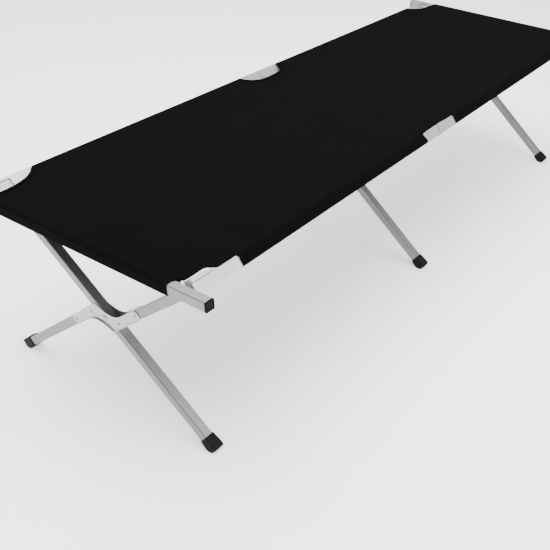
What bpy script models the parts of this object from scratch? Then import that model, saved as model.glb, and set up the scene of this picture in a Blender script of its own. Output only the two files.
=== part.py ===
"""Folding camp cot: two aluminium side rails on three scissor leg pairs, with a stretched fabric bed.

The frame is laid out as if it were folded flat, and two empties on the scissor axis then open it.
In the folded layout X runs along the rails, Z runs up the legs and Y runs across them. The through
legs lie at Y = 0. The right rail and the split legs' upper tubes lie at Y = -LEG_PITCH, the left rail
and the split legs' lower tubes at Y = +LEG_PITCH. The right empty carries the right rail and the
split legs, the left empty the left rail and the through legs. The end bars and the bed fabric are
placed in the world. Lengths are in metres, and the cot stands on the plane Z = 0.
"""

import math

import bmesh
import bpy
from mathutils import Matrix, Vector

# Driving dimensions
LENGTH = 1.90
WIDTH = 0.70
TUBE = 0.022
TUBE_WALL = 0.0012
TUBE_RADIUS = 0.0016
SHEET = 0.0012
FIT = 0.0005
LEG_SLOPE = math.radians(39)
LEG_PITCH = 0.0245
LEG_INSET = 0.060
CROSSING_HEIGHT = 0.235
RAIL_REACH = 0.361
HINGE_X = -0.030

# Scissor plates on the split legs
PLATE_REACH = 0.107
PLATE_HALF = 0.012
PLATE_SHOULDER = 0.005
PLATE_WAIST = 0.055
SHOULDER_PULL = (0.028, -0.016)
WAIST_PULL = 0.030
PLATE_LIP = 0.0035
SPLIT_START = 0.024
RIVET_NEAR = 0.035
RIVET_RADIUS = 0.0042
RIVET_HEIGHT = 0.0014
RIVET_TAPER = 0.75
PIN_RADIUS = 0.0035
PIN_HEAD_RADIUS = 0.0062
PIN_HEAD = 0.0018
PIN_PLAY = 0.0003

# Leg top brackets
BRACKET_LOW = 0.321
THROUGH_TOP = 0.310
THROUGH_BRACKET_LOW = 0.274
BRACKET_PIN_RADIUS = 0.0025
BRACKET_PIN_DROP = 0.014

# Feet
BOOT_HALF = 0.013
BOOT_LENGTH = 0.030
BOOT_FLOOR = 0.009
BOOT_BEVEL = 0.002
TONGUE_LENGTH = 0.016
TONGUE_HALF = 0.006
SOLE_CUT = 0.006

# Mid hinges of the rails
HINGE_GAP = 0.0012
HEAD_CHANNEL = 0.070
FOOT_CHANNEL = 0.078
HINGE_DROP = 0.015
EAR_RADIUS = 0.008
EAR_ROOT = 0.024
JOGGLE_START = 0.005
JOGGLE_END = 0.0185

# Corners, levers and end bars
CORNER_CHANNEL_START = 0.808
PEG_RADIUS = 0.004
PEG_LENGTH = 0.011
LEVER_PIVOT_INSET = 0.013
LEVER_DROP = 0.005
LEVER_HALF = 0.011
LEVER_LENGTH = 0.0485
LEVER_CORNER = 0.004
LEVER_GAP = 0.0008
LEVER_DEPTH = 0.009
LEVER_TIP_DEPTH = 0.0045
LEVER_WALL = 0.0011
LEVER_HOLES = (0.018, 0.029, 0.040)
LEVER_HOLE_RADIUS = 0.003
CAP_FLANGE = 0.003
CAP_INSERT = 0.010
CAP_WALL = 0.0022

# Fabric
FABRIC = 0.002
SLEEVE_WALL = 0.001
SLEEVE_END = 0.802
WINDOW_LOW = -0.104
WINDOW_HIGH = 0.057
LEFT_WINDOW_DEPTH = 0.044
BED_INSET = 0.0075
END_SLEEVE_HALF = 0.256
CORNER_START = 0.006
CORNER_HALF = 0.273
CORNER_SLANT = 0.0015
CORNER_CURVE_START = 0.866
CORNER_CURVE_LENGTH = 0.054

# Derived places
HALF_TUBE = TUBE / 2
SPREAD = math.pi / 2 - LEG_SLOPE
UNIT_X = (-LENGTH / 2 + LEG_INSET, 0.0, LENGTH / 2 - LEG_INSET)
BAR_INNER = LENGTH / 2 - TUBE
BRACKET_OUTER = BAR_INNER - FIT
RAIL_END = BRACKET_OUTER - SHEET - FIT
RAIL_SIDE = RAIL_REACH * math.cos(LEG_SLOPE) + LEG_PITCH * math.sin(LEG_SLOPE)
RAIL_HEIGHT = (
    CROSSING_HEIGHT + RAIL_REACH * math.sin(LEG_SLOPE) - LEG_PITCH * math.cos(LEG_SLOPE)
)
FLANGE_IN = HALF_TUBE + FIT
FLANGE_OUT = FLANGE_IN + SHEET
RAIL_UNDER = RAIL_REACH - HALF_TUBE - FIT
BED_HALF_WIDTH = RAIL_SIDE - BED_INSET
LEVER_WEB = FLANGE_OUT + LEVER_GAP

RIGHT = -1
LEFT = 1
HEAD = -1
FOOT = 1
SIDES = {"right": RIGHT, "left": LEFT}
ENDS = {"head": HEAD, "foot": FOOT}
ROUND = 12
CIRCLE_TURN = 7
SHARP = math.radians(40)

# How a flat outline drawn in its own X and Y is laid into a frame, thickness along its own Z
ACROSS_LEGS = Matrix(((0, 0, 1, 0), (1, 0, 0, 0), (0, 1, 0, 0), (0, 0, 0, 1)))
ALONG_RAIL = Matrix(((1, 0, 0, 0), (0, 0, -1, 0), (0, 1, 0, 0), (0, 0, 0, 1)))
FLAT = Matrix.Identity(4)


# ---------------------------------------------------------------- scene and materials


def clear_scene():
    for obj in list(bpy.data.objects):
        bpy.data.objects.remove(obj)


def new_collection(name):
    group = bpy.data.collections.new(name)
    bpy.context.scene.collection.children.link(group)
    return group


def material(name, color, roughness, metallic):
    mat = bpy.data.materials.new(name)
    mat.use_nodes = True
    shader = mat.node_tree.nodes["Principled BSDF"]
    shader.inputs["Base Color"].default_value = (*color, 1.0)
    shader.inputs["Roughness"].default_value = roughness
    shader.inputs["Metallic"].default_value = metallic
    return mat


clear_scene()
PARTS = new_collection("folding_cot")
CUTTERS = new_collection("cutters")
ALUMINIUM = material("brushed_aluminium", (0.62, 0.62, 0.63), 0.38, 1.0)
STEEL = material("zinc_steel", (0.78, 0.78, 0.79), 0.32, 1.0)
PLASTIC = material("black_plastic", (0.02, 0.02, 0.022), 0.55, 0.0)
FABRIC_BLACK = material("black_polyester", (0.012, 0.012, 0.013), 0.85, 0.0)


def frame_empty(name, tilt):
    empty = bpy.data.objects.new(name, None)
    empty.location = (0, 0, CROSSING_HEIGHT)
    empty.rotation_euler = (tilt, 0, 0)
    PARTS.objects.link(empty)
    return empty


FRAME = {
    RIGHT: frame_empty("right_frame_axis", SPREAD),
    LEFT: frame_empty("left_frame_axis", -SPREAD),
    None: None,
}


# ---------------------------------------------------------------- modelling helpers


def place(name, mesh, frame, look, matrix=FLAT):
    """A named part whose mesh is given in its frame's axes, after matrix."""
    mesh.transform(matrix)
    obj = bpy.data.objects.new(name, mesh)
    obj.parent = FRAME[frame]
    if look is None:
        obj.hide_render = True
        obj.display_type = "WIRE"
        CUTTERS.objects.link(obj)
    else:
        mesh.materials.append(look)
        PARTS.objects.link(obj)
    return obj


def box_mesh(low, high):
    low, high = Vector(low), Vector(high)
    bm = bmesh.new()
    bmesh.ops.create_cube(bm, size=1.0)
    bmesh.ops.scale(bm, vec=high - low, verts=bm.verts)
    bmesh.ops.translate(bm, vec=(low + high) / 2, verts=bm.verts)
    return finished_mesh(bm)


def rod_mesh(start, end, radius, end_radius=None, sides=ROUND):
    start, end = Vector(start), Vector(end)
    bm = bmesh.new()
    bmesh.ops.create_cone(
        bm,
        cap_ends=True,
        segments=sides,
        radius1=radius,
        radius2=radius if end_radius is None else end_radius,
        depth=(end - start).length,
    )
    turn = (end - start).to_track_quat("Z", "Y").to_matrix().to_4x4()
    bm.transform(Matrix.Translation((start + end) / 2) @ turn)
    mesh = finished_mesh(bm)
    mesh.shade_smooth()
    mesh.set_sharp_from_angle(angle=SHARP)
    return mesh


def plate_mesh(outline, low, high, holes=()):
    """A flat outline in X and Y, with holes in it, as a plate from low to high in Z."""
    curve = bpy.data.curves.new("outline", "CURVE")
    curve.dimensions = "2D"
    curve.fill_mode = "BOTH"
    curve.extrude = (high - low) / 2
    for loop in (outline, *holes):
        spline = curve.splines.new("POLY")
        spline.points.add(len(loop) - 1)
        for point, (x, y) in zip(spline.points, loop):
            point.co = (x, y, 0, 1)
        spline.use_cyclic_u = True
    guide = bpy.data.objects.new("outline", curve)
    CUTTERS.objects.link(guide)
    depsgraph = bpy.context.evaluated_depsgraph_get()
    mesh = bpy.data.meshes.new_from_object(guide.evaluated_get(depsgraph))
    bpy.data.objects.remove(guide)
    bm = bmesh.new()
    bm.from_mesh(mesh)
    bmesh.ops.remove_doubles(bm, verts=bm.verts, dist=0.00001)
    bmesh.ops.translate(bm, vec=(0, 0, (low + high) / 2), verts=bm.verts)
    return finished_mesh(bm)


def finished_mesh(bm):
    bm.normal_update()
    bmesh.ops.recalc_face_normals(bm, faces=bm.faces)
    mesh = bpy.data.meshes.new("shape")
    bm.to_mesh(mesh)
    bm.free()
    return mesh


def boolean(target, other, operation):
    step = target.modifiers.new(other.name, "BOOLEAN")
    step.operation = operation
    step.solver = "EXACT"
    step.object = other


def add(target, mesh, frame, matrix=FLAT):
    boolean(target, place(target.name + "_joined", mesh, frame, None, matrix), "UNION")


def cut(target, mesh, frame, matrix=FLAT):
    boolean(target, place(target.name + "_cut", mesh, frame, None, matrix), "DIFFERENCE")


def bevel(obj, width):
    step = obj.modifiers.new("edge", "BEVEL")
    step.width = width
    step.segments = 1
    step.limit_method = "ANGLE"


def solidify(obj, thickness, even=True):
    step = obj.modifiers.new("wall", "SOLIDIFY")
    step.thickness = thickness
    step.offset = -1
    step.use_even_offset = even


def square_tube(name, frame, low, high, look=ALUMINIUM):
    """A square tube that fills the box from low to high, open at both ends of its long axis."""
    mesh = box_mesh(low, high)
    size = Vector(high) - Vector(low)
    long_axis = max(range(3), key=lambda i: size[i])
    bm = bmesh.new()
    bm.from_mesh(mesh)
    ends = [face for face in bm.faces if abs(face.normal[long_axis]) > 0.5]
    bmesh.ops.delete(bm, geom=ends, context="FACES_ONLY")
    bm.to_mesh(mesh)
    bm.free()
    obj = place(name, mesh, frame, look)
    bevel(obj, TUBE_RADIUS)
    solidify(obj, TUBE_WALL)
    return obj


def arc(center, radius, start, end, steps):
    """Points on an arc, angles in degrees; radius is a number or an (x, y) pair."""
    rx, ry = radius if isinstance(radius, tuple) else (radius, radius)
    angles = [math.radians(start + (end - start) * i / steps) for i in range(steps + 1)]
    return [(center[0] + rx * math.cos(a), center[1] + ry * math.sin(a)) for a in angles]


def circle(center, radius):
    """A circle turned a little, so that circles in a row have no three points on one line."""
    return arc(center, radius, CIRCLE_TURN, CIRCLE_TURN + 360, ROUND)[:-1]


def bezier(p0, p1, p2, p3, steps):
    """Points on a cubic curve, without its two ends."""
    points = []
    for i in range(1, steps):
        t = i / steps
        weights = ((1 - t) ** 3, 3 * t * (1 - t) ** 2, 3 * t * t * (1 - t), t**3)
        points.append(
            tuple(sum(w * p[k] for w, p in zip(weights, (p0, p1, p2, p3))) for k in (0, 1))
        )
    return points


def band(path, width):
    """A closed outline: the path and its copy set off to the left by width."""
    shifted = []
    for i, point in enumerate(path):
        before, after = Vector(path[max(i - 1, 0)]), Vector(path[min(i + 1, len(path) - 1)])
        along = (after - before).normalized()
        shifted.append((point[0] - along.y * width, point[1] + along.x * width))
    return list(path) + shifted[::-1]


# ---------------------------------------------------------------- scissor legs


def through_leg(unit, x):
    """The one-piece leg, from its foot under the right rail up to the left rail."""
    foot = foot_reach(0.0, LEFT)
    leg = square_tube(
        f"through_leg_{unit}",
        LEFT,
        (x - HALF_TUBE, -HALF_TUBE, -foot + BOOT_FLOOR + FIT),
        (x + HALF_TUBE, HALF_TUBE, THROUGH_TOP - SHEET - FIT),
    )
    reach = TUBE
    cut(leg, rod_mesh((x - reach, 0, 0), (x + reach, 0, 0), PIN_RADIUS + PIN_PLAY), LEFT)
    pin_z = THROUGH_TOP - BRACKET_PIN_DROP
    hole = rod_mesh((x, -reach, pin_z), (x, reach, pin_z), BRACKET_PIN_RADIUS + PIN_PLAY)
    cut(leg, hole, LEFT)


def split_leg(unit, x):
    """The two-piece leg: its tubes lie either side of the through leg when the cot is folded."""
    upper = square_tube(
        f"split_leg_upper_{unit}",
        RIGHT,
        (x - HALF_TUBE, -LEG_PITCH - HALF_TUBE, SPLIT_START),
        (x + HALF_TUBE, -LEG_PITCH + HALF_TUBE, RAIL_UNDER - SHEET - FIT),
    )
    pin_z = RAIL_UNDER - BRACKET_PIN_DROP
    hole_ends = [(x, -LEG_PITCH + s * TUBE, pin_z) for s in (-1, 1)]
    cut(upper, rod_mesh(*hole_ends, BRACKET_PIN_RADIUS + PIN_PLAY), RIGHT)
    square_tube(
        f"split_leg_lower_{unit}",
        RIGHT,
        (x - HALF_TUBE, LEG_PITCH - HALF_TUBE, -foot_reach(LEG_PITCH, RIGHT) + BOOT_FLOOR + FIT),
        (x + HALF_TUBE, LEG_PITCH + HALF_TUBE, -SPLIT_START),
    )


def plate_side():
    """One long edge of a scissor plate, from its upper end to its lower end."""
    shoulder = (-LEG_PITCH - PLATE_HALF, PLATE_SHOULDER)
    waist = (LEG_PITCH - PLATE_HALF, -PLATE_WAIST)
    curve = bezier(
        shoulder,
        (shoulder[0] + SHOULDER_PULL[0], shoulder[1] + SHOULDER_PULL[1]),
        (waist[0], waist[1] + WAIST_PULL),
        waist,
        7,
    )
    top = (-LEG_PITCH - PLATE_HALF, PLATE_REACH)
    bottom = (LEG_PITCH - PLATE_HALF, -PLATE_REACH)
    return [top, shoulder, *curve, waist, bottom]


def plate_outline():
    """The Z shape that joins the two tubes of a split leg across the through leg."""
    edge = plate_side()
    end = arc((LEG_PITCH, -PLATE_REACH), PLATE_HALF, 180, 360, 8)
    half = edge[:-1] + end[:-1]
    return half + [(-y, -z) for y, z in half]


def scissor_plate(name, x, outward):
    """A stamped plate on one side of a leg pair, with its riveted heads and turned lower edge."""
    inner = x + outward * (HALF_TUBE + FIT)
    outer = inner + outward * SHEET
    low, high = min(inner, outer), max(inner, outer)
    hole = circle((0, 0), PIN_RADIUS + PIN_PLAY)
    mesh = plate_mesh(plate_outline(), low, high, [hole])
    plate = place(name, mesh, RIGHT, STEEL, ACROSS_LEGS)
    lip_edge = outer + outward * PLATE_LIP
    lip = plate_mesh(band(plate_side(), SHEET), min(inner, lip_edge), max(inner, lip_edge))
    add(plate, lip, RIGHT, ACROSS_LEGS)
    overlap = SHEET / 2
    for sign in (-1, 1):
        for z in (RIVET_NEAR, PLATE_REACH):
            start = (outer - outward * overlap, sign * LEG_PITCH, -sign * z)
            end = (outer + outward * RIVET_HEIGHT, sign * LEG_PITCH, -sign * z)
            add(plate, rod_mesh(start, end, RIVET_RADIUS, RIVET_RADIUS * RIVET_TAPER), RIGHT)


def crossing_pin(unit, x):
    """The pin that the through leg turns on."""
    face = HALF_TUBE + FIT + SHEET + PIN_PLAY
    head = face + PIN_HEAD
    pin = place(
        f"crossing_pin_{unit}",
        rod_mesh((x - head, 0, 0), (x - face, 0, 0), PIN_HEAD_RADIUS * RIVET_TAPER, PIN_HEAD_RADIUS),
        RIGHT,
        STEEL,
    )
    shank = rod_mesh((x - face - PIN_HEAD / 2, 0, 0), (x + face + PIN_HEAD / 2, 0, 0), PIN_RADIUS)
    add(pin, shank, RIGHT)
    far_head = rod_mesh((x + face, 0, 0), (x + head, 0, 0), PIN_HEAD_RADIUS, PIN_HEAD_RADIUS * RIVET_TAPER)
    add(pin, far_head, RIGHT)


# ---------------------------------------------------------------- leg top brackets


def split_leg_bracket(unit, x):
    """A clevis under the right rail that holds the top of a split leg."""
    y0, top = -LEG_PITCH, RAIL_UNDER
    outline = [
        (y0 - FLANGE_OUT, BRACKET_LOW),
        (y0 - FLANGE_IN, BRACKET_LOW),
        (y0 - FLANGE_IN, top - SHEET),
        (y0 + FLANGE_IN, top - SHEET),
        (y0 + FLANGE_IN, BRACKET_LOW),
        (y0 + FLANGE_OUT - PIN_PLAY, BRACKET_LOW),
        (y0 + FLANGE_OUT - PIN_PLAY, top),
        (y0 - FLANGE_OUT, top),
    ]
    mesh = plate_mesh(outline, x - HALF_TUBE, x + HALF_TUBE)
    bracket = place(f"right_leg_bracket_{unit}", mesh, RIGHT, STEEL, ACROSS_LEGS)
    pin_z = top - BRACKET_PIN_DROP
    inner = y0 + FLANGE_IN + SHEET / 2
    outer = y0 - FLANGE_OUT - RIVET_HEIGHT
    add(bracket, rod_mesh((x, inner, pin_z), (x, outer, pin_z), BRACKET_PIN_RADIUS), RIGHT)
    root = (x, y0 - FLANGE_OUT + SHEET / 2, pin_z)
    head = rod_mesh(root, (x, outer, pin_z), RIVET_RADIUS, RIVET_RADIUS * RIVET_TAPER)
    add(bracket, head, RIGHT)


def through_leg_bracket(unit, x):
    """A clevis on the top of a through leg, with an arm that reaches under the left rail."""
    top = THROUGH_TOP
    low = THROUGH_BRACKET_LOW
    outline = [
        (-FLANGE_OUT, low),
        (-FLANGE_IN, low),
        (-FLANGE_IN, top - SHEET),
        (FLANGE_IN, top - SHEET),
        (FLANGE_IN, low),
        (FLANGE_OUT, low),
        (FLANGE_OUT, RAIL_UNDER - SHEET),
        (LEG_PITCH + HALF_TUBE, RAIL_UNDER - SHEET),
        (LEG_PITCH + HALF_TUBE, RAIL_UNDER),
        (FLANGE_IN, RAIL_UNDER),
        (FLANGE_IN, top),
        (-FLANGE_OUT, top),
    ]
    mesh = plate_mesh(outline, x - HALF_TUBE, x + HALF_TUBE)
    bracket = place(f"left_leg_bracket_{unit}", mesh, LEFT, STEEL, ACROSS_LEGS)
    pin_z = top - BRACKET_PIN_DROP
    inner = -FLANGE_IN - SHEET / 2
    outer = FLANGE_OUT + RIVET_HEIGHT
    add(bracket, rod_mesh((x, inner, pin_z), (x, outer, pin_z), BRACKET_PIN_RADIUS), LEFT)
    root = (x, FLANGE_OUT - SHEET / 2, pin_z)
    add(bracket, rod_mesh(root, (x, outer, pin_z), RIVET_RADIUS, RIVET_RADIUS * RIVET_TAPER), LEFT)


# ---------------------------------------------------------------- feet


def foot_reach(y, side):
    """How far below the crossing a boot's end lies, so that its corner is SOLE_CUT under the floor."""
    lowest = y - BOOT_HALF if side == RIGHT else -y - BOOT_HALF
    return (CROSSING_HEIGHT + lowest * math.cos(LEG_SLOPE) + SOLE_CUT) / math.sin(LEG_SLOPE)


def boot(name, x, y, side, tongue=0.0):
    """A plastic boot over the end of a leg, cut level where it stands on the floor.

    A boot with a tongue length has a tongue up the leg at its front and its back in Y.
    """
    end = -foot_reach(y, side)
    mouth = end + BOOT_LENGTH
    top = mouth + tongue
    low = (x - BOOT_HALF, y - BOOT_HALF, end)
    high = (x + BOOT_HALF, y + BOOT_HALF, top)
    obj = place(name, box_mesh(low, high), side, PLASTIC)
    bevel(obj, BOOT_BEVEL)
    clear = TUBE
    inner = HALF_TUBE + FIT
    cavity = box_mesh(
        (x - inner, y - inner, end + BOOT_FLOOR), (x + inner, y + inner, top + clear)
    )
    cut(obj, cavity, side)
    for sign in (-1, 1) if tongue else ():
        low_x, high_x = sorted((x + sign * TONGUE_HALF, x + sign * (BOOT_HALF + clear)))
        beside_tongue = box_mesh(
            (low_x, y - BOOT_HALF - clear, mouth), (high_x, y + BOOT_HALF + clear, top + clear)
        )
        cut(obj, beside_tongue, side)
    ground = box_mesh((x - TUBE * 2, -WIDTH, -TUBE * 2), (x + TUBE * 2, WIDTH, 0))
    cut(obj, ground, None)


# ---------------------------------------------------------------- rails and their mid hinges


def rail_half(name, side, x_low, x_high):
    y = side * LEG_PITCH
    low = (x_low, y - HALF_TUBE, RAIL_REACH - HALF_TUBE)
    high = (x_high, y + HALF_TUBE, RAIL_REACH + HALF_TUBE)
    square_tube(name, side, low, high)


def channel_outline(y0):
    """The U of a hinge channel around the outer side of a rail, in Y and Z."""
    z0 = RAIL_REACH
    return [
        (y0 - FLANGE_OUT, z0 - HALF_TUBE),
        (y0 - FLANGE_IN, z0 - HALF_TUBE),
        (y0 - FLANGE_IN, z0 + FLANGE_IN),
        (y0 + FLANGE_IN, z0 + FLANGE_IN),
        (y0 + FLANGE_IN, z0 - HALF_TUBE),
        (y0 + FLANGE_OUT, z0 - HALF_TUBE),
        (y0 + FLANGE_OUT, z0 + FLANGE_OUT),
        (y0 - FLANGE_OUT, z0 + FLANGE_OUT),
    ]


def ear_outline(root_low, root_high, root_z):
    """An ear that hangs from root_z over root_low to root_high, round about the hinge pin."""
    pin_z = RAIL_REACH - HALF_TUBE - HINGE_DROP
    lobe = arc((HINGE_X, pin_z), EAR_RADIUS, 180, 360, 8)
    if root_high <= HINGE_X:
        lobe += arc((HINGE_X, pin_z), EAR_RADIUS, 30, 90, 2)
        return [(root_low, root_z), *lobe, (root_high, pin_z + EAR_RADIUS), (root_high, root_z)]
    lobe = arc((HINGE_X, pin_z), EAR_RADIUS, 90, 300, 8)
    return [*lobe, (root_high, root_z - SHEET), (root_high, root_z), (root_low, root_z)]


def ear_mesh(outline, low, high):
    hole = circle((HINGE_X, RAIL_REACH - HALF_TUBE - HINGE_DROP), BRACKET_PIN_RADIUS + PIN_PLAY)
    return plate_mesh(outline, low, high, [hole])


def head_channel(name, side):
    """The hinge channel on a head rail, with its ears in line with its flanges."""
    y0 = side * LEG_PITCH
    start, end = HINGE_X - HEAD_CHANNEL, HINGE_X - HINGE_GAP
    channel = place(name, plate_mesh(channel_outline(y0), start, end), side, STEEL, ACROSS_LEGS)
    outline = ear_outline(HINGE_X - EAR_ROOT, HINGE_X - HINGE_GAP, RAIL_REACH - HALF_TUBE + SHEET)
    for sign in (-1, 1):
        edges = sorted((-(y0 + sign * FLANGE_IN), -(y0 + sign * FLANGE_OUT)))
        add(channel, ear_mesh(outline, *edges), side, ALONG_RAIL)


def foot_channel(name, side):
    """The hinge channel on a foot rail, whose ears are joggled in to lie between the other pair."""
    y0 = side * LEG_PITCH
    start, end = HINGE_X + HINGE_GAP, HINGE_X + FOOT_CHANNEL
    channel = place(name, plate_mesh(channel_outline(y0), start, end), side, STEEL, ACROSS_LEGS)
    ear_out = FLANGE_IN - PIN_PLAY
    ear_in = ear_out - SHEET
    step_top, step_low = RAIL_UNDER, RAIL_UNDER - SHEET
    outline = ear_outline(HINGE_X + JOGGLE_START, HINGE_X + JOGGLE_END, step_top)
    for sign in (-1, 1):
        joggle = [
            (y0 + sign * ear_in, step_low),
            (y0 + sign * FLANGE_OUT, step_low),
            (y0 + sign * FLANGE_OUT, step_top + SHEET),
            (y0 + sign * FLANGE_IN, step_top + SHEET),
            (y0 + sign * FLANGE_IN, step_top),
            (y0 + sign * ear_in, step_top),
        ]
        step = plate_mesh(joggle, HINGE_X + JOGGLE_START, HINGE_X + JOGGLE_END)
        add(channel, step, side, ACROSS_LEGS)
        edges = sorted((-(y0 + sign * ear_in), -(y0 + sign * ear_out)))
        add(channel, ear_mesh(outline, *edges), side, ALONG_RAIL)


def hinge_pin(name, side):
    y0, z = side * LEG_PITCH, RAIL_REACH - HALF_TUBE - HINGE_DROP
    face = FLANGE_OUT + PIN_PLAY
    head = face + RIVET_HEIGHT
    ends = [(HINGE_X, y0 + s * (face + RIVET_HEIGHT / 2), z) for s in (-1, 1)]
    pin = place(name, rod_mesh(*ends, BRACKET_PIN_RADIUS), side, STEEL)
    for s in (-1, 1):
        near, far = (HINGE_X, y0 + s * face, z), (HINGE_X, y0 + s * head, z)
        add(pin, rod_mesh(near, far, RIVET_RADIUS, RIVET_RADIUS * RIVET_TAPER), side)


# ---------------------------------------------------------------- corners


def corner_bracket(name, side, end):
    """A channel over a rail's end, with the peg for the end bar and the lever's pivot."""
    y0, inward = side * LEG_PITCH, -side
    edges = sorted((end * CORNER_CHANNEL_START, end * (BRACKET_OUTER - SHEET / 2)))
    bracket = place(name, plate_mesh(channel_outline(y0), *edges), side, STEEL, ACROSS_LEGS)
    plate_half, plate_top = FLANGE_IN + SHEET / 2, RAIL_REACH + FLANGE_IN + SHEET / 2
    low_x, high_x = sorted((end * (BRACKET_OUTER - SHEET), end * BRACKET_OUTER))
    end_plate = box_mesh(
        (low_x, y0 - plate_half, RAIL_REACH - HALF_TUBE + FIT),
        (high_x, y0 + plate_half, plate_top),
    )
    add(bracket, end_plate, side)
    tip = BRACKET_OUTER + PEG_LENGTH
    peg = rod_mesh(
        (end * (BRACKET_OUTER - SHEET / 2), y0, RAIL_REACH), (end * tip, y0, RAIL_REACH), PEG_RADIUS
    )
    add(bracket, peg, side)
    pivot_x, pivot_z = lever_pivot(end)
    pin_start = (pivot_x, y0 + inward * (FLANGE_IN + SHEET / 2), pivot_z)
    head_low = LEVER_WEB + LEVER_WALL + PIN_PLAY
    pin_end = (pivot_x, y0 + inward * (head_low + RIVET_HEIGHT), pivot_z)
    add(bracket, rod_mesh(pin_start, pin_end, BRACKET_PIN_RADIUS), side)
    head_start = (pivot_x, y0 + inward * head_low, pivot_z)
    add(bracket, rod_mesh(head_start, pin_end, RIVET_RADIUS, RIVET_RADIUS * RIVET_TAPER), side)


def lever_pivot(end):
    return end * (BAR_INNER - LEVER_PIVOT_INSET), RAIL_REACH - LEVER_DROP


def lever_outline(pivot_x, pivot_z, end):
    """A round nose about the pivot, and a tail with small round corners, in X and Z."""
    corner_u, corner_v = LEVER_CORNER - LEVER_LENGTH, LEVER_HALF - LEVER_CORNER
    loop = arc((0, 0), LEVER_HALF, -90, 90, 10)
    loop += arc((corner_u, corner_v), LEVER_CORNER, 90, 180, 4)
    loop += arc((corner_u, -corner_v), LEVER_CORNER, 180, 270, 4)
    return [(pivot_x + end * u, pivot_z + v) for u, v in loop]


def lever(name, side, end):
    """A tension lever: a pressed channel on the rail's inner face, open towards the bed."""
    y0, inward = side * LEG_PITCH, -side
    pivot_x, pivot_z = lever_pivot(end)
    centers = [(pivot_x - end * offset, pivot_z) for offset in (0, *LEVER_HOLES)]
    radii = [BRACKET_PIN_RADIUS + PIN_PLAY] + [LEVER_HOLE_RADIUS] * len(LEVER_HOLES)
    holes = [circle(center, radius) for center, radius in zip(centers, radii)]
    web = y0 + inward * LEVER_WEB
    rim = web + inward * LEVER_DEPTH
    outline = lever_outline(pivot_x, pivot_z, end)
    mesh = plate_mesh(outline, *sorted((-web, -rim)), holes)
    mesh.transform(ALONG_RAIL)
    bm = bmesh.new()
    bm.from_mesh(mesh)
    open_faces = [face for face in bm.faces if not on_shell(face, web, centers, radii)]
    bmesh.ops.delete(bm, geom=open_faces, context="FACES")
    slope = (LEVER_DEPTH - LEVER_TIP_DEPTH) / (LEVER_LENGTH + LEVER_HALF)
    for vert in bm.verts:
        if abs(vert.co.y - web) > FIT:
            nose_distance = abs(pivot_x + end * LEVER_HALF - vert.co.x)
            vert.co.y = rim - inward * slope * nose_distance
    bm.to_mesh(mesh)
    bm.free()
    solidify(place(name, mesh, side, STEEL), LEVER_WALL, even=False)


def on_shell(face, web, centers, radii):
    """Whether a lever's face is part of its web or of its outer rim, and not of a hole's wall."""
    if all(abs(vert.co.y - web) < FIT for vert in face.verts):
        return True
    if abs(face.normal.y) > 0.5:
        return False
    center = face.calc_center_median()
    gaps = [math.dist((center.x, center.z), c) - r for c, r in zip(centers, radii)]
    return min(gaps) > FIT


# ---------------------------------------------------------------- end bars


def end_bar(name, end):
    inner, outer = end * BAR_INNER, end * LENGTH / 2
    half = WIDTH / 2 - CAP_FLANGE - FIT
    low = (min(inner, outer), -half, RAIL_HEIGHT - HALF_TUBE)
    high = (max(inner, outer), half, RAIL_HEIGHT + HALF_TUBE)
    bar = square_tube(name, None, low, high)
    for side in (RIGHT, LEFT):
        y = side * RAIL_SIDE
        ends = [(end * (BAR_INNER + d), y, RAIL_HEIGHT) for d in (-HALF_TUBE, HALF_TUBE)]
        cut(bar, rod_mesh(*ends, PEG_RADIUS + PIN_PLAY), None)


def end_cap(name, end, side):
    center_x = end * (LENGTH / 2 - HALF_TUBE)
    tip, seat = WIDTH / 2, WIDTH / 2 - CAP_FLANGE
    low_y, high_y = sorted((side * seat, side * tip))
    cap = place(
        name,
        box_mesh(
            (center_x - HALF_TUBE, low_y, RAIL_HEIGHT - HALF_TUBE),
            (center_x + HALF_TUBE, high_y, RAIL_HEIGHT + HALF_TUBE),
        ),
        None,
        PLASTIC,
    )
    bevel(cap, TUBE_RADIUS / 2)
    half = HALF_TUBE - CAP_WALL
    low_y, high_y = sorted((side * (seat - CAP_INSERT), side * (seat + CAP_FLANGE / 2)))
    insert = box_mesh(
        (center_x - half, low_y, RAIL_HEIGHT - half), (center_x + half, high_y, RAIL_HEIGHT + half)
    )
    add(cap, insert, None)


# ---------------------------------------------------------------- fabric


def bed_edge(window_depth):
    """One long edge of the bed at negative Y, with its cut corners and a window at the mid hinge."""
    half_length = LENGTH / 2 + FIT + FABRIC / 2
    sleeve_y, corner_x = FIT - END_SLEEVE_HALF, BAR_INNER - CORNER_START
    inner_y, outer_y = sleeve_y - CORNER_SLANT, CORNER_SLANT - CORNER_HALF
    start = [(half_length, sleeve_y), (corner_x, inner_y), (corner_x, outer_y)]
    radii = (CORNER_CURVE_LENGTH, BED_HALF_WIDTH - CORNER_HALF)
    curve = arc((CORNER_CURVE_START, -BED_HALF_WIDTH), radii, 90, 180, 6)
    foot = start + curve
    window = []
    if window_depth:
        middle, half = (WINDOW_LOW + WINDOW_HIGH) / 2, (WINDOW_HIGH - WINDOW_LOW) / 2
        window = arc((middle, -BED_HALF_WIDTH), (half, window_depth), 180, 0, 14)
    return [(-x, y) for x, y in foot] + window + foot[::-1]


def bed_outline():
    """The flat bed in X and Y. Its window over the left rail's hinge reaches into the bed."""
    left = [(x, -y) for x, y in reversed(bed_edge(LEFT_WINDOW_DEPTH))]
    return bed_edge(0) + left


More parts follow.
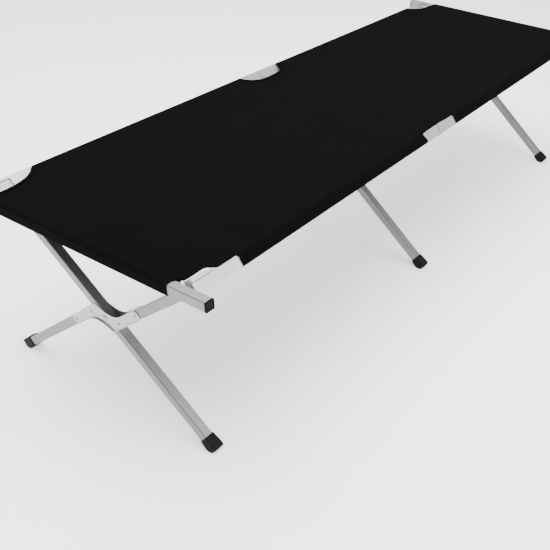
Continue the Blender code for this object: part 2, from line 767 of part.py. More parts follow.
def bed_panel():
    """The stretched fabric with the two sleeves that wrap the end bars."""
    under = RAIL_HEIGHT + HALF_TUBE + FIT
    bed = place(
        "bed_fabric", plate_mesh(bed_outline(), under, under + FABRIC), None, FABRIC_BLACK
    )
    inner = HALF_TUBE + FIT
    outer = inner + FABRIC
    rim = under + FABRIC / 2
    for end in (HEAD, FOOT):
        x = end * (LENGTH / 2 - HALF_TUBE)
        wrap = [
            (x - outer, RAIL_HEIGHT - outer),
            (x + outer, RAIL_HEIGHT - outer),
            (x + outer, rim),
            (x + inner, rim),
            (x + inner, RAIL_HEIGHT - inner),
            (x - inner, RAIL_HEIGHT - inner),
            (x - inner, rim),
            (x - outer, rim),
        ]
        half_width = END_SLEEVE_HALF - FABRIC
        add(bed, plate_mesh(wrap, -half_width, half_width), None, ALONG_RAIL)


def rail_sleeve(name, side, x_low, x_high):
    y = side * LEG_PITCH
    half = HALF_TUBE + FIT + SLEEVE_WALL
    mesh = box_mesh((x_low, y - half, RAIL_REACH - half), (x_high, y + half, RAIL_REACH + half))
    bm = bmesh.new()
    bm.from_mesh(mesh)
    ends = [face for face in bm.faces if abs(face.normal.x) > 0.5]
    bmesh.ops.delete(bm, geom=ends, context="FACES_ONLY")
    bm.to_mesh(mesh)
    bm.free()
    solidify(place(name, mesh, side, FABRIC_BLACK), SLEEVE_WALL)


# ---------------------------------------------------------------- assembly


def build_leg_pairs():
    for unit, x in enumerate(UNIT_X, start=1):
        through_leg(unit, x)
        split_leg(unit, x)
        scissor_plate(f"scissor_plate_front_{unit}", x, -1)
        scissor_plate(f"scissor_plate_rear_{unit}", x, 1)
        crossing_pin(unit, x)
        split_leg_bracket(unit, x)
        through_leg_bracket(unit, x)
        boot(f"through_leg_boot_{unit}", x, 0.0, LEFT)
        boot(f"split_leg_boot_{unit}", x, LEG_PITCH, RIGHT, TONGUE_LENGTH)


def build_rails():
    for word, side in SIDES.items():
        rail_half(f"{word}_rail_head", side, -RAIL_END, HINGE_X - HINGE_GAP)
        rail_half(f"{word}_rail_foot", side, HINGE_X + HINGE_GAP, RAIL_END)
        head_channel(f"{word}_hinge_channel_head", side)
        foot_channel(f"{word}_hinge_channel_foot", side)
        hinge_pin(f"{word}_hinge_pin", side)
        rail_sleeve(f"{word}_sleeve_head", side, -SLEEVE_END, WINDOW_LOW)
        rail_sleeve(f"{word}_sleeve_foot", side, WINDOW_HIGH, SLEEVE_END)


def build_ends():
    for end_word, end in ENDS.items():
        end_bar(f"end_bar_{end_word}", end)
        for word, side in SIDES.items():
            end_cap(f"end_cap_{end_word}_{word}", end, side)
            corner_bracket(f"corner_bracket_{end_word}_{word}", side, end)
            lever(f"tension_lever_{end_word}_{word}", side, end)


build_leg_pairs()
build_rails()
build_ends()
bed_panel()
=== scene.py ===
"""Looks of the folding camp cot: fabric, stitching, ribbed boots, metals, floor, light and camera."""

import math

import bmesh
import bpy
import numpy as np
from mathutils import Matrix, Vector


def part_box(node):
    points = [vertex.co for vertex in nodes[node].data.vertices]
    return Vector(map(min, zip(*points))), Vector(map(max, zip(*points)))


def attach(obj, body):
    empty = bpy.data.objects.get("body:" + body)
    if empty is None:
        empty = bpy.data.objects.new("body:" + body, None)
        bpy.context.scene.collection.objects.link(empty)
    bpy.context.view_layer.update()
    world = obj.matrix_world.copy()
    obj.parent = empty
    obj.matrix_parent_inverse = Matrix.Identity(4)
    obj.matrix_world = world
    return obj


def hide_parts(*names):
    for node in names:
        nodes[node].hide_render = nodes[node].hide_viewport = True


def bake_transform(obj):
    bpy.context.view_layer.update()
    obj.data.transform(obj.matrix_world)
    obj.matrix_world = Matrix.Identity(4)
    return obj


# Frame of the cot, as the CAD has it, in metres
HALF_LENGTH = 0.95
SPREAD = math.radians(51)
CROSSING_HEIGHT = 0.235
LEG_PITCH = 0.0245
TUBE_HALF = 0.011
RAIL_SIDE = 0.29597
RAIL_HEIGHT = 0.44314
UNIT_X = (-0.89, 0.0, 0.89)
SIDES = {"right": -1, "left": 1}
ENDS = {"head": -1, "foot": 1}

# Fabric
CLOTH = 0.0012
CLOTH_GAP = 0.0012
RIDGE_SIDE = 0.2981
RIDGE_HEIGHT = 0.4602
BAR_TOP = 0.4556
SAG = 0.011
SIDE_SEAM = 0.250
END_SEAM = 0.905
END_SLEEVE = 0.256
PANEL_END = 0.947
CORNER_END = 0.9305
SLEEVE_END = 0.802
WINDOW = (-0.104, 0.057)
LEFT_DEPTH = 0.046
RIGHT_DEPTH = 0.0045
CORNER_EDGE = {
    -1: (
        (0.806, 0.815, 0.830, 0.845, 0.855, 0.860, 0.865, 0.869, 0.876, 0.905, 0.921, 0.926, 0.930),
        (0.2981, 0.2972, 0.2962, 0.295, 0.293, 0.289, 0.281, 0.2765, 0.2742, 0.2736, 0.2725, 0.267, 0.256),
    ),
    1: (
        (0.803, 0.807, 0.812, 0.820, 0.834, 0.848, 0.862, 0.880, 0.905, 0.921, 0.930),
        (0.2981, 0.2945, 0.2890, 0.2810, 0.2715, 0.2655, 0.2615, 0.2585, 0.2575, 0.2565, 0.256),
    ),
}
SLEEVE_BULGE = 0.0085
SLEEVE_BULGE_LENGTH = 0.042
PANEL_ROWS = 56
# A hem's section, as distance in from the edge and side of the cloth
HEM_SECTION = ((0.009, 1), (0.0015, 1), (-0.0004, 0), (0.0015, -1), (0.009, -1))
HEM_CLOTH = 0.0008
HEM_SEAM = 0.0075
STITCH = (0.0027, 0.0006, 0.0005)
STITCH_PITCH = 0.0044
SEAM_GAP = 0.0055

# Boots
BOOT_HALF = 0.013
BOOT_LENGTH = 0.030
SOLE_CUT = 0.006
BOOT_STEPS = 128
BOOT_SQUARE = 9
GROOVE_PITCH = 0.0048
TONGUE = (0.012, 0.0013, 0.019)
TONGUE_RISE = 0.0065
TONGUE_GAP = 0.0012
# Height above the boot's end, half width and groove depth, from the sole to inside the mouth
BOOT_PROFILE = (
    (-0.0030, 0.0120, 0.0),
    (-0.0020, 0.0133, 0.0),
    (0.0000, 0.0143, 0.0003),
    (0.0030, 0.0147, 0.0008),
    (0.0150, 0.0143, 0.0008),
    (0.0270, 0.0135, 0.0007),
    (0.0290, 0.0133, 0.0),
    (0.0322, 0.0131, 0.0),
    (0.0330, 0.0127, 0.0),
    (0.0330, 0.0114, 0.0),
    (0.0240, 0.0113, 0.0),
)

# Part of a metal's look that is mirror-like; the rest stands for its satin finish
METALLIC = 0.75

# Light: the world's strength from the head end (-X) to the foot end
WORLD_DIMMING = (-0.9, 0.1, 0.15, 1.0)
FLOOR_GLOW = 0.9
FLOOR_HALF = 30
FLOOR_DROP = 0.0005
# Each lamp's name, place, target, size and power
LAMPS = (
    ("overhead", (-0.4, 0.2, 3.4), (0, 0, 0.3), (4.0, 3.0), 330),
    ("right_side", (0.2, -3.4, 1.8), (0, 0, 0.2), (3.5, 1.8), 130),
)

# Rivets of the scissor plates: their outer face from the leg's middle, and their places along it
RIVET_FACE = TUBE_HALF + 0.0005 + 0.0012 + 0.0014
RIVET_PLACES = (0.035, 0.107)
# Size of the dark discs in the rivets' middles: painted shade standing for each rivet's hollow
SHADE_DISC_RADIUS = 0.0017
SHADE_DISC_DEPTH = 0.0002

# Raised rim of an end cap: half width, wall, and how far it starts behind and stands past the cap
RIM = (0.0108, 0.0018, -0.0002, 0.0008)
RIM_ROUND = 0.0004

# Camera
CAMERA_PLACE = (-1.7554, -1.1689, 1.2900)
CAMERA_HEADING = math.radians(31.5468)
CAMERA_TILT = math.radians(35.0071)
CAMERA_ROLL = math.radians(3.2008)
CAMERA_LENS = 52.32
CAMERA_SHIFT = (-0.1641, 0.0217)

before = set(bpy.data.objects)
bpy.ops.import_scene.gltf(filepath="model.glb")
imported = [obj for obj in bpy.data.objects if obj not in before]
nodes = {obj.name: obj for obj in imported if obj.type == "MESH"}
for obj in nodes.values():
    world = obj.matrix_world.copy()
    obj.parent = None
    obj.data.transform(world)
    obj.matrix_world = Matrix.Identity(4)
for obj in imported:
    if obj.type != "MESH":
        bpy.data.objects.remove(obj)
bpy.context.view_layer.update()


# ---------------------------------------------------------------- materials


def material(name, color, roughness, metallic=0.0):
    mat = bpy.data.materials.new(name)
    mat.use_nodes = True
    shader = mat.node_tree.nodes["Principled BSDF"]
    shader.inputs["Base Color"].default_value = (*color, 1)
    shader.inputs["Roughness"].default_value = roughness
    shader.inputs["Metallic"].default_value = metallic
    return mat, mat.node_tree, shader


def link_noise(tree, coordinates, scale, noise_scale, detail=3.0):
    """A noise stretched along the axes by scale, as its 0 to 1 factor."""
    stretch = tree.nodes.new("ShaderNodeMapping")
    stretch.inputs["Scale"].default_value = scale
    tree.links.new(coordinates, stretch.inputs["Vector"])
    noise = tree.nodes.new("ShaderNodeTexNoise")
    noise.inputs["Scale"].default_value = noise_scale
    noise.inputs["Detail"].default_value = detail
    tree.links.new(stretch.outputs["Vector"], noise.inputs["Vector"])
    return noise.outputs["Fac"]


def link_range(tree, value, low, high):
    ramp = tree.nodes.new("ShaderNodeMapRange")
    ramp.inputs["To Min"].default_value = low
    ramp.inputs["To Max"].default_value = high
    tree.links.new(value, ramp.inputs["Value"])
    return ramp.outputs["Result"]


def link_bump(tree, shader, height, strength, distance):
    bump = tree.nodes.new("ShaderNodeBump")
    bump.inputs["Strength"].default_value = strength
    bump.inputs["Distance"].default_value = distance
    tree.links.new(height, bump.inputs["Height"])
    tree.links.new(bump.outputs["Normal"], shader.inputs["Normal"])


def link_mix(tree, factor, dark, light):
    mix = tree.nodes.new("ShaderNodeMix")
    mix.data_type = "RGBA"
    tree.links.new(factor, mix.inputs["Factor"])
    mix.inputs["A"].default_value = (*dark, 1)
    mix.inputs["B"].default_value = (*light, 1)
    return mix.outputs["Result"]


def turned_coordinates(tree, angle):
    """Object coordinates turned about X, so that Z runs along a leg."""
    place = tree.nodes.new("ShaderNodeTexCoord")
    turn = tree.nodes.new("ShaderNodeMapping")
    turn.inputs["Rotation"].default_value = (angle, 0, 0)
    tree.links.new(place.outputs["Object"], turn.inputs["Vector"])
    return turn.outputs["Vector"]


def brushed_metal(name, dark, light, roughness, grain, angle=0.0):
    """A metal with fine grain; grain has a small number along the direction of the lines."""
    mat, tree, shader = material(name, light, roughness, metallic=METALLIC)
    coordinates = turned_coordinates(tree, angle)
    lines = link_noise(tree, coordinates, grain, 6.0)
    clouds = link_noise(tree, coordinates, (1, 1, 1), 25.0)
    color = link_mix(tree, lines, dark, light)
    tree.links.new(color, shader.inputs["Base Color"])
    gloss = link_range(tree, clouds, roughness - 0.06, roughness + 0.08)
    tree.links.new(gloss, shader.inputs["Roughness"])
    link_bump(tree, shader, lines, 0.25, 0.0002)
    return mat


def black_plastic(name, color, roughness, specular):
    mat, tree, shader = material(name, color, roughness)
    shader.inputs["Specular IOR Level"].default_value = specular
    grain = link_noise(tree, turned_coordinates(tree, 0.0), (1, 1, 1), 900.0, 2.0)
    link_bump(tree, shader, grain, 0.35, 0.0003)
    return mat


def woven_fabric(name, color, weave):
    """Plain black polyester: two crossed thread directions in the cloth's own flat coordinates."""
    mat, tree, shader = material(name, color, 0.78)
    shader.inputs["Specular IOR Level"].default_value = 0.022
    flat = tree.nodes.new("ShaderNodeUVMap")
    flat.uv_map = "cloth"
    threads = []
    for direction in ("X", "Y"):
        wave = tree.nodes.new("ShaderNodeTexWave")
        wave.bands_direction = direction
        wave.inputs["Scale"].default_value = weave
        wave.inputs["Distortion"].default_value = 1.2
        wave.inputs["Detail Scale"].default_value = 2.0
        tree.links.new(flat.outputs["UV"], wave.inputs["Vector"])
        threads.append(wave.outputs["Fac"])
    crossed = tree.nodes.new("ShaderNodeMath")
    crossed.operation = "MULTIPLY"
    for thread, socket in zip(threads, crossed.inputs):
        tree.links.new(thread, socket)
    clouds = link_noise(tree, flat.outputs["UV"], (9, 14, 1), 1.0, 4.0)
    worn = [c * 1.55 for c in color]
    tree.links.new(link_mix(tree, clouds, color, worn), shader.inputs["Base Color"])
    link_bump(tree, shader, crossed.outputs["Value"], 0.4, 0.0004)
    return mat


# Grain runs along X on the rails, along Y on the end bars and along the tube on the legs
RAIL_METAL = brushed_metal("rail_metal", (0.17,) * 3, (0.27,) * 3, 0.42, (2, 90, 90))
BAR_METAL = brushed_metal("bar_metal", (0.18,) * 3, (0.28,) * 3, 0.42, (90, 2, 90))
LEG_METAL = {
    side: brushed_metal(
        f"{side}_leg_metal", (0.17,) * 3, (0.27,) * 3, 0.42, (90, 90, 2), sign * SPREAD
    )
    for side, sign in SIDES.items()
}
ZINC = brushed_metal("zinc_plate", (0.38, 0.38, 0.385), (0.50, 0.50, 0.505), 0.38, (9, 9, 9))
BOOT_BLACK = black_plastic("boot_black", (0.0035, 0.0035, 0.0038), 0.6, 0.12)
CAP_BLACK = black_plastic("cap_black", (0.0025, 0.0025, 0.0027), 0.6, 0.05)
FABRIC_BLACK = woven_fabric("bed_black", (0.0012, 0.0012, 0.0013), 260.0)
# Near-black for the discs in the rivets' middles: painted shade of each rivet's hollow
RIVET_SHADE = material("rivet_painted_shade", (0.03, 0.03, 0.03), 0.6, 0.5)[0]
THREAD_BLACK = black_plastic("thread_black", (0.004, 0.004, 0.0043), 0.8, 0.03)


def node_material(name):
    if name.startswith("end_bar"):
        return BAR_METAL
    if name.startswith("end_cap"):
        return CAP_BLACK
    if "boot" in name:
        return BOOT_BLACK
    if name.startswith("split_leg"):
        return LEG_METAL["right"]
    if name.startswith("through_leg"):
        return LEG_METAL["left"]
    if "_rail_" in name:
        return RAIL_METAL
    return ZINC


def dress_cad_nodes():
    for name, obj in nodes.items():
        obj.data.materials.clear()
        obj.data.materials.append(node_material(name))
        if node_material(name) is ZINC:
            step = obj.modifiers.new("soft_edges", "BEVEL")
            step.width = 0.0002
            step.segments = 2
            step.limit_method = "ANGLE"
            step.harden_normals = True


# ---------------------------------------------------------------- shapes


def new_object(name, mesh, mat):
    obj = bpy.data.objects.new(name, mesh)
    bpy.context.scene.collection.objects.link(obj)
    mesh.materials.append(mat)
    return obj


def frame_matrix(side):
    """From the folded layout, in which a leg runs along Z, to the standing cot."""
    return Matrix.Translation((0, 0, CROSSING_HEIGHT)) @ Matrix.Rotation(-side * SPREAD, 4, "X")


def smoothstep(t):
    t = np.clip(t, 0, 1)
    return t * t * (3 - 2 * t)


def bed_height(x, y):
    """Height of the cloth's middle: a sagging bed between the rail ridges and the end bars."""
    across = 1 - min(abs(y) / RIDGE_SIDE, 1) ** 2.2
    along = 1 - min(abs(x) / HALF_LENGTH, 1) ** 4
    hanging = RIDGE_HEIGHT - SAG * across * (0.25 + 0.75 * along)
    to_bar = float(smoothstep((abs(x) - 0.79) / 0.135))
    return hanging + (BAR_TOP - hanging) * to_bar + wrinkle(x, y) * (1 - to_bar * 0.6)


def wrinkle(x, y):
    """Faint pulls in the cloth, strongest near the corners and the mid windows."""
    near_edge = smoothstep((abs(y) - 0.13) / 0.15) * smoothstep((RIDGE_SIDE - abs(y)) / 0.03)
    corner = math.exp(-(((abs(x) - 0.80) / 0.11) ** 2)) + 0.7 * math.exp(-((x / 0.13) ** 2))
    pulls = math.sin(46 * x + 31 * abs(y)) + 0.6 * math.sin(71 * x - 23 * abs(y) + 1.0)
    broad = math.sin(5.1 * x + 3.0 * y) * math.sin(9.0 * y + 0.7 * x)
    return 0.0007 * float(near_edge) * corner * pulls + 0.0006 * broad * float(
        smoothstep((RIDGE_SIDE - abs(y)) / 0.1)
    )


def bed_edge(x, side):
    """Distance of the panel's edge from the middle, at x."""
    corner_x, corner_y = CORNER_EDGE[side]
    if abs(x) > corner_x[0]:
        return float(np.interp(abs(x), corner_x, corner_y))
    middle, half = sum(WINDOW) / 2, (WINDOW[1] - WINDOW[0]) / 2
    t = abs(x - middle) / half
    if t >= 1:
        return RIDGE_SIDE
    depth = LEFT_DEPTH if side > 0 else RIGHT_DEPTH
    return RIDGE_SIDE - depth * (1 - t**3.2) ** 0.6


def columns():
    """The X of every column of the cloth, close together at the cut-outs."""
    fine = [*np.arange(0.796, CORNER_END, 0.0025)]
    window = [*np.linspace(WINDOW[0] - 0.004, WINDOW[1] + 0.004, 57)]
    coarse = [*np.arange(0.07, 0.79, 0.012)]
    coarse_head = [*np.arange(0.115, 0.79, 0.012)]
    ends = [0.936, 0.942, PANEL_END]
    exact = [SLEEVE_END, -SLEEVE_END, *WINDOW]
    values = window + coarse + fine + ends + [-v for v in coarse_head + fine + ends] + exact
    return sorted({round(float(v), 4) for v in values})


def rounded_path(corners, radius, steps=4):
    """A polyline through corners, with each inner corner rounded by a small arc."""
    points = [np.array(corners[0], float)]
    for before, corner, after in zip(corners, corners[1:], corners[2:]):
        corner = np.array(corner, float)
        back = np.array(before, float) - corner
        ahead = np.array(after, float) - corner
        start = corner + back / np.linalg.norm(back) * radius
        stop = corner + ahead / np.linalg.norm(ahead) * radius
        for i in range(steps + 1):
            t = i / steps
            points.append((1 - t) ** 2 * start + 2 * t * (1 - t) * corner + t * t * stop)
    points.append(np.array(corners[-1], float))
    return [p for a, b in zip(points, points[1:]) for p in split(a, b)] + [points[-1]]


def split(a, b, longest=0.003):
    """Points from a up to b, which is left out, no further apart than longest."""
    count = max(1, math.ceil(np.linalg.norm(b - a) / longest))
    return [a + (b - a) * i / count for i in range(count)]


def path_lengths(path):
    """The length along a path up to each of its points."""
    return np.cumsum([0, *[np.linalg.norm(b - a) for a, b in zip(path, path[1:])]])


def side_wrap():
    """The cloth's way round a rail in (distance out, Z), from the ridge to the seam under the bed."""
    c, s, h = math.cos(SPREAD), math.sin(SPREAD), TUBE_HALF + CLOTH_GAP
    outer = (RAIL_SIDE + h * (c + s), RAIL_HEIGHT + h * (c - s))
    bottom = (RAIL_SIDE + h * (c - s), RAIL_HEIGHT - h * (c + s))
    ridge = (RIDGE_SIDE, RIDGE_HEIGHT)
    middle = (RAIL_SIDE - h * 1.5, RAIL_HEIGHT - h * 0.62)
    seam = (SIDE_SEAM, bed_height(0.5, SIDE_SEAM) - CLOTH * 1.3)
    return rounded_path([ridge, outer, bottom, middle, seam], 0.0035)


def end_wrap():
    """The cloth's way round an end bar in (distance out, Z), from the bed to the seam under it."""
    low, out = RAIL_HEIGHT - TUBE_HALF - CLOTH_GAP, HALF_LENGTH + CLOTH_GAP
    inner = HALF_LENGTH - 2 * TUBE_HALF - CLOTH_GAP
    seam = (END_SEAM, BAR_TOP - CLOTH * 1.3)
    corners = [(PANEL_END, BAR_TOP), (out, BAR_TOP), (out, low), (inner, low), seam]
    return rounded_path(corners, 0.0022)


class Cloth:
    """Collects the cloth's vertices, faces and flat coordinates."""

    def __init__(self):
        self.bm = bmesh.new()
        self.flat = self.bm.verts.layers.float_vector.new("flat")

    def vert(self, place, flat):
        v = self.bm.verts.new(place)
        v[self.flat] = (flat[0], flat[1], 0)
        return v

    def grid(self, rows, flip=False):
        for a, b in zip(rows, rows[1:]):
            for i in range(len(a) - 1):
                corners = [a[i], a[i + 1], b[i + 1], b[i]]
                self.bm.faces.new(corners[::-1] if flip else corners)

    def finish(self, name, mat, thickness):
        bmesh.ops.remove_doubles(self.bm, verts=self.bm.verts, dist=0.00008)
        bmesh.ops.recalc_face_normals(self.bm, faces=self.bm.faces)
        uv = self.bm.loops.layers.uv.new("cloth")
        for face in self.bm.faces:
            face.smooth = True
            for loop in face.loops:
                loop[uv].uv = loop.vert[self.flat][:2]
        mesh = bpy.data.meshes.new(name)
        self.bm.to_mesh(mesh)
        self.bm.free()
        obj = new_object(name, mesh, mat)
        step = obj.modifiers.new("thickness", "SOLIDIFY")
        step.thickness = thickness
        step.offset = 0
        return obj


def add_panel(cloth):
    grid = []
    for x in columns():
        low, high = -bed_edge(x, -1), bed_edge(x, 1)
        line = []
        for j in range(PANEL_ROWS + 1):
            share = j / PANEL_ROWS
            y = low + (high - low) * (0.5 - 0.5 * math.cos(math.pi * share))
            line.append(cloth.vert((x, y, bed_height(x, y)), (x, y)))
        grid.append(line)
    cloth.grid(grid)


def add_side_sleeves(cloth):
    path = side_wrap()
    lengths = path_lengths(path)
    spans = ((-SLEEVE_END, WINDOW[0]), (WINDOW[1], SLEEVE_END))
    for side in SIDES.values():
        for low, high in spans:
            grid = []
            for x in (v for v in columns() if low - 1e-6 <= v <= high + 1e-6):
                line = []
                for i, (out, z) in enumerate(path):
                    bulge = math.sin(math.pi * min(lengths[i] / SLEEVE_BULGE_LENGTH, 1))
                    rise = SLEEVE_BULGE if high < 0 else SLEEVE_BULGE / 3
                    pull = smoothstep(1 - (high - x) / 0.03) * rise
                    pull = pull - smoothstep(1 - (x - low) / 0.03) * SLEEVE_BULGE / 4
                    place = (x + bulge * float(pull), side * out, z)
                    line.append(cloth.vert(place, (x, side * (RIDGE_SIDE + lengths[i]))))
                grid.append(line)
            cloth.grid(grid, flip=side > 0)


def add_end_sleeves(cloth):
    path = end_wrap()
    lengths = path_lengths(path)
    for end in ENDS.values():
        grid = []
        for length, (out, z) in zip(lengths, path):
            line = []
            for j in range(PANEL_ROWS + 1):
                y = -END_SLEEVE * math.cos(math.pi * j / PANEL_ROWS)
                line.append(cloth.vert((end * out, y, z), (end * (PANEL_END + length), y)))
            grid.append(line)
        cloth.grid(grid, flip=end > 0)


def edge_runs():
    """The free edges of the panel, at the corners and the windows, as lists of (x, y)."""
    runs = []
    for side in SIDES.values():
        window = [x for x in columns() if WINDOW[0] <= x <= WINDOW[1]]
        runs.append([(x, side * bed_edge(x, side)) for x in window])
        for end in ENDS.values():
            corner = [x for x in columns() if CORNER_EDGE[side][0][0] <= end * x <= CORNER_END]
            runs.append([(x, side * bed_edge(x, side)) for x in corner])
    return runs


def inward_direction(run, i):
    """The level direction from a run's point i into the panel, square to the edge."""
    ahead, behind = run[min(i + 1, len(run) - 1)], run[max(i - 1, 0)]
    along = Vector((ahead[0] - behind[0], ahead[1] - behind[1])).normalized()
    inward = Vector((-along.y, along.x))
    if inward.y * run[i][1] > 0:
        inward.negate()
    return inward


def add_hems():
    """A folded binding along each free edge of the panel."""
    cloth = Cloth()
    for run in edge_runs():
        grid = []
        for i, (x, y) in enumerate(run):
            inward = inward_direction(run, i)
            line = []
            for distance, lift in HEM_SECTION:
                px, py = x + inward.x * distance, y + inward.y * distance
                z = bed_height(px, py) + lift * (CLOTH + 0.0001)
                line.append(cloth.vert((px, py, z), (px, py)))
            grid.append(line)
        cloth.grid(grid)
    return cloth.finish("edge_binding", FABRIC_BLACK, HEM_CLOTH)


# ---------------------------------------------------------------- stitching


def stitch_lines():
    """Every line of stitches as a list of (x, y), each a run on the bed's upper face."""
    lines = []
    for side in SIDES.values():
        for gap in (0.0, SEAM_GAP):
            y = side * (SIDE_SEAM + gap)
            for low, high in ((-0.800, WINDOW[0]), (WINDOW[1], 0.800)):
                lines.append([(x, y) for x in np.arange(low, high, 0.004)])
    for end in ENDS.values():
        for gap in (0.0, SEAM_GAP):
            x = end * (END_SEAM + gap)
            lines.append([(x, y) for y in np.arange(-0.262, 0.262, 0.004)])
    for run in edge_runs():
        inner = []
        for i, (x, y) in enumerate(run):
            inward = inward_direction(run, i)
            inner.append((x + inward.x * HEM_SEAM, y + inward.y * HEM_SEAM))
        lines.append(inner)
    return lines


def stitch_places(line):
    """Evenly spaced places along a line, each with the line's direction."""
    points = [Vector((x, y, bed_height(x, y))) for x, y in line]
    lengths = np.cumsum([0, *[(b - a).length for a, b in zip(points, points[1:])]])
    for distance in np.arange(STITCH_PITCH / 2, lengths[-1], STITCH_PITCH):
        i = min(int(np.searchsorted(lengths, distance)), len(points) - 1)
        share = (distance - lengths[i - 1]) / max(lengths[i] - lengths[i - 1], 1e-9)
        yield points[i - 1].lerp(points[i], share), (points[i] - points[i - 1]).normalized()


def add_stitches(hem_count):
    bm = bmesh.new()
    lines = stitch_lines()
    for number, line in enumerate(lines):
        lift = CLOTH / 2 if number < len(lines) - hem_count else CLOTH * 1.75
        for place, along in stitch_places(line):
            made = bmesh.ops.create_cube(bm, size=1.0)["verts"]
            bmesh.ops.scale(bm, vec=STITCH, verts=made)
            turn = along.to_track_quat("X", "Z").to_matrix().to_4x4()
            lifted = place + Vector((0, 0, lift))
            bmesh.ops.transform(bm, matrix=Matrix.Translation(lifted) @ turn, verts=made)
    mesh = bpy.data.meshes.new("seam_stitches")
    bm.to_mesh(mesh)
    bm.free()
    return new_object("seam_stitches", mesh, THREAD_BLACK)


def build_fabric():
    cloth = Cloth()
    add_panel(cloth)
    add_side_sleeves(cloth)
    add_end_sleeves(cloth)
    bed = cloth.finish("bed_sheet", FABRIC_BLACK, CLOTH)
    hems = add_hems()
    stitches = add_stitches(len(edge_runs()))
    for piece in (bed, hems, stitches):
        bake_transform(piece)
    sleeves = [f"{side}_sleeve_{end}" for side in SIDES for end in ENDS]
    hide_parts("bed_fabric", *sleeves)
    rests = [f"{side}_rail_{end}" for side in SIDES for end in ENDS]
    rests += [f"end_bar_{end}" for end in ENDS]


# ---------------------------------------------------------------- plastic pieces


def square_ring(bm, half, wall, low, high):
    """A square collar around the Z axis, from low to high."""
    loops = []
    for inner, z in ((half, low), (half, high), (half - wall, high), (half - wall, low)):
        corners = [(-inner, -inner), (inner, -inner), (inner, inner), (-inner, inner)]
        loops.append([bm.verts.new((a, b, z)) for a, b in corners])
    for a, b in zip(loops, loops[1:] + loops[:1]):
        for i in range(4):
            j = (i + 1) % 4
            bm.faces.new([a[i], a[j], b[j], b[i]])


def boot_section(half, groove):
    """A round-cornered square with grooves up its four sides, as a loop of (x, y)."""
    loop = []
    for i in range(BOOT_STEPS):
        angle = 2 * math.pi * i / BOOT_STEPS
        c, s = math.cos(angle), math.sin(angle)
        reach = half / (abs(c) ** BOOT_SQUARE + abs(s) ** BOOT_SQUARE) ** (1 / BOOT_SQUARE)
        x, y = reach * c, reach * s
        along = y if abs(x) > abs(y) else x
        inside = abs(along) < 0.72 * half
        dent = groove * (0.5 + 0.5 * math.cos(2 * math.pi * along / GROOVE_PITCH)) if inside else 0
        loop.append((x * (1 - dent / half), y * (1 - dent / half)))
    return loop


def add_boots():
    """Grooved boots, a little wider at the sole, each cut level at the floor."""
    for kind, side, y in (("split", -1, LEG_PITCH), ("through", 1, 0.0)):
        body = "right_frame" if side < 0 else "left_frame"
        low = (y if side < 0 else -y) - BOOT_HALF
        end = -(CROSSING_HEIGHT + low * math.sin(SPREAD) + SOLE_CUT) / math.cos(SPREAD)
        for unit, x in enumerate(UNIT_X, start=1):
            bm = bmesh.new()
            loops = []
            for height, half, groove in BOOT_PROFILE:
                section = boot_section(half, groove)
                loops.append([bm.verts.new((x + a, y + b, end + height)) for a, b in section])
            bm.faces.new(loops[0][::-1])
            for a, b in zip(loops, loops[1:]):
                for i in range(BOOT_STEPS):
                    k = (i + 1) % BOOT_STEPS
                    bm.faces.new([a[i], a[k], b[k], b[i]]).smooth = True
            if kind == "split":
                for sign in (-1, 1):
                    add_tongue(bm, x, y, sign, end + BOOT_LENGTH)
            bm.transform(frame_matrix(side))
            everything = bm.verts[:] + bm.edges[:] + bm.faces[:]
            cut = bmesh.ops.bisect_plane(
                bm, geom=everything, plane_co=(0, 0, 0), plane_no=(0, 0, 1), clear_inner=True
            )
            rim = [e for e in cut["geom_cut"] if isinstance(e, bmesh.types.BMEdge)]
            bmesh.ops.edgeloop_fill(bm, edges=rim)
            bmesh.ops.recalc_face_normals(bm, faces=bm.faces)
            mesh = bpy.data.meshes.new("boot")
            bm.to_mesh(mesh)
            bm.free()
            mesh.set_sharp_from_angle(angle=math.radians(50))
            boot = new_object(f"{kind}_boot_{unit}", mesh, BOOT_BLACK)
            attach(boot, body)
            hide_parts(f"{kind}_leg_boot_{unit}")


def add_tongue(bm, x, y, sign, mouth):
    """A thin tongue up the leg's face at y, from the boot's mouth."""
    made = bmesh.ops.create_cube(bm, size=1.0)["verts"]
    bmesh.ops.scale(bm, vec=TONGUE, verts=made)
    place = (x, y + sign * (TUBE_HALF + TONGUE_GAP), mouth + TONGUE_RISE)
    bmesh.ops.translate(bm, vec=place, verts=made)


def add_cap_rims():
    """A raised rim on each end cap's outer face."""
    for end_word, end in ENDS.items():
        for side_word, side in SIDES.items():
            low, high = (Vector(corner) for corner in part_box(f"end_cap_{end_word}_{side_word}"))
            face_y = high.y if side > 0 else low.y
            middle = (low + high) / 2
            bm = bmesh.new()
            square_ring(bm, *RIM)
            bmesh.ops.recalc_face_normals(bm, faces=bm.faces)
            mesh = bpy.data.meshes.new("rim")
            bm.to_mesh(mesh)
            bm.free()
            turn = Matrix.Rotation(-side * math.pi / 2, 4, "X")
            mesh.transform(Matrix.Translation((middle.x, face_y, middle.z)) @ turn)
            rim = new_object(f"cap_rim_{end_word}_{side_word}", mesh, CAP_BLACK)
            step = rim.modifiers.new("round", "BEVEL")
            step.width = RIM_ROUND
            step.segments = 2
            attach(rim, f"end_bar_{end_word}")


# ---------------------------------------------------------------- rivets


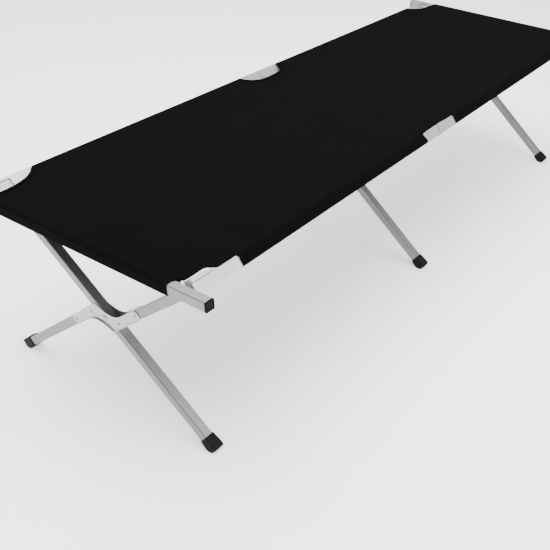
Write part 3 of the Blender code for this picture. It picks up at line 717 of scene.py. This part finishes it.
def add_rivet_shade_discs():
    """A dark disc in the middle of each scissor plate's rivets: painted shade standing for the rivet's
    hollow.
    """
    for unit, x in enumerate(UNIT_X, start=1):
        bm = bmesh.new()
        for outward in (-1, 1):
            plate = x + outward * RIVET_FACE
            for sign in (-1, 1):
                for z in RIVET_PLACES:
                    made = bmesh.ops.create_cone(
                        bm,
                        cap_ends=True,
                        segments=16,
                        radius1=SHADE_DISC_RADIUS,
                        radius2=SHADE_DISC_RADIUS,
                        depth=SHADE_DISC_DEPTH,
                    )["verts"]
                    turn = Matrix.Rotation(math.pi / 2, 4, "Y")
                    place = Matrix.Translation((plate, sign * LEG_PITCH, -sign * z))
                    bmesh.ops.transform(bm, matrix=frame_matrix(-1) @ place @ turn, verts=made)
        mesh = bpy.data.meshes.new("shade_discs")
        bm.to_mesh(mesh)
        bm.free()
        shade_discs = new_object(f"rivet_hollows_{unit}", mesh, RIVET_SHADE)
        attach(shade_discs, "right_frame")


# ---------------------------------------------------------------- stage


def add_floor():
    mesh = bpy.data.meshes.new("floor")
    size = FLOOR_HALF
    corners = [(-size, -size, 0), (size, -size, 0), (size, size, 0), (-size, size, 0)]
    mesh.from_pydata(corners, [], [(0, 1, 2, 3)])
    mat, _, shader = material("pale_floor", (0.95, 0.95, 0.95), 0.95)
    shader.inputs["Emission Color"].default_value = (1, 1, 1, 1)
    shader.inputs["Emission Strength"].default_value = FLOOR_GLOW
    floor = new_object("floor", mesh, mat)
    floor.location.z = -FLOOR_DROP


def add_light(name, place, target, size, power):
    data = bpy.data.lights.new(name, "AREA")
    data.shape = "RECTANGLE"
    data.size, data.size_y = size
    data.energy = power
    light = bpy.data.objects.new(name, data)
    bpy.context.scene.collection.objects.link(light)
    light.location = place
    direction = Vector(target) - Vector(place)
    light.rotation_mode = "QUATERNION"
    light.rotation_quaternion = direction.to_track_quat("-Z", "Y")


def add_studio():
    """A white room that is dimmer towards the head end, and the lamps."""
    world = bpy.data.worlds.new("studio")
    world.use_nodes = True
    tree = world.node_tree
    background = tree.nodes["Background"]
    direction = tree.nodes.new("ShaderNodeTexCoord")
    parts = tree.nodes.new("ShaderNodeSeparateXYZ")
    tree.links.new(direction.outputs["Generated"], parts.inputs["Vector"])
    dimming = tree.nodes.new("ShaderNodeMapRange")
    dimming.interpolation_type = "SMOOTHSTEP"
    for socket, value in zip(("From Min", "From Max", "To Min", "To Max"), WORLD_DIMMING):
        dimming.inputs[socket].default_value = value
    tree.links.new(parts.outputs["X"], dimming.inputs["Value"])
    tree.links.new(dimming.outputs["Result"], background.inputs["Strength"])
    background.inputs["Color"].default_value = (1, 1, 1, 1)
    bpy.context.scene.world = world
    for lamp in LAMPS:
        add_light(*lamp)


def add_camera():
    data = bpy.data.cameras.new("camera")
    data.lens = CAMERA_LENS
    data.shift_x, data.shift_y = CAMERA_SHIFT
    camera = bpy.data.objects.new("camera", data)
    bpy.context.scene.collection.objects.link(camera)
    flat = math.cos(CAMERA_TILT)
    ahead = Vector(
        (
            flat * math.cos(CAMERA_HEADING),
            flat * math.sin(CAMERA_HEADING),
            -math.sin(CAMERA_TILT),
        )
    )
    right = ahead.cross(Vector((0, 0, 1))).normalized()
    up = right.cross(ahead)
    c, s = math.cos(CAMERA_ROLL), math.sin(CAMERA_ROLL)
    right, up = c * right + s * up, -s * right + c * up
    turn = Matrix((right, up, -ahead)).transposed().to_4x4()
    camera.matrix_world = Matrix.Translation(CAMERA_PLACE) @ turn
    bpy.context.scene.camera = camera


dress_cad_nodes()
build_fabric()
add_boots()
add_rivet_shade_discs()
add_cap_rims()
add_floor()
add_studio()
add_camera()
